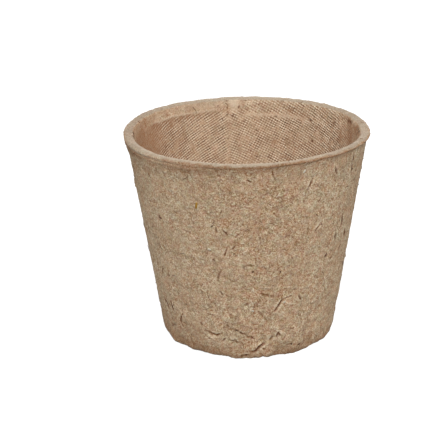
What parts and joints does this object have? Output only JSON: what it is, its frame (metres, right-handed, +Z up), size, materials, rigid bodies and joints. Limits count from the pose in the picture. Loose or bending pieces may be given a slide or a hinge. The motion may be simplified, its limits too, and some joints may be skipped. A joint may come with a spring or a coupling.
{
  "type": "peat pot",
  "caption": "Round tapered seedling pot moulded in one piece from peat and wood-fibre pulp, with a flared lip, an open mouth and a small drain hole in its flat base.",
  "frame": {"origin": "middle of the foot, on the surface that the pot stands on", "axes": "+Z up along the pot's axis to the open mouth; -Y is the side that the picture shows; the pot is round, so X and Y are free"},
  "size_m": [0.06, 0.06, 0.052],
  "materials": {
    "peat_pulp": "rough felted fibre, dry and matt",
    "straw": "split straw, satin",
    "bark": "broken bark, matt"
  },
  "bodies": {
    "root": {"pot_moulding": "peat_pulp", "straw_slivers": "straw", "bark_slivers": "bark"}
  },
  "joints": []
}
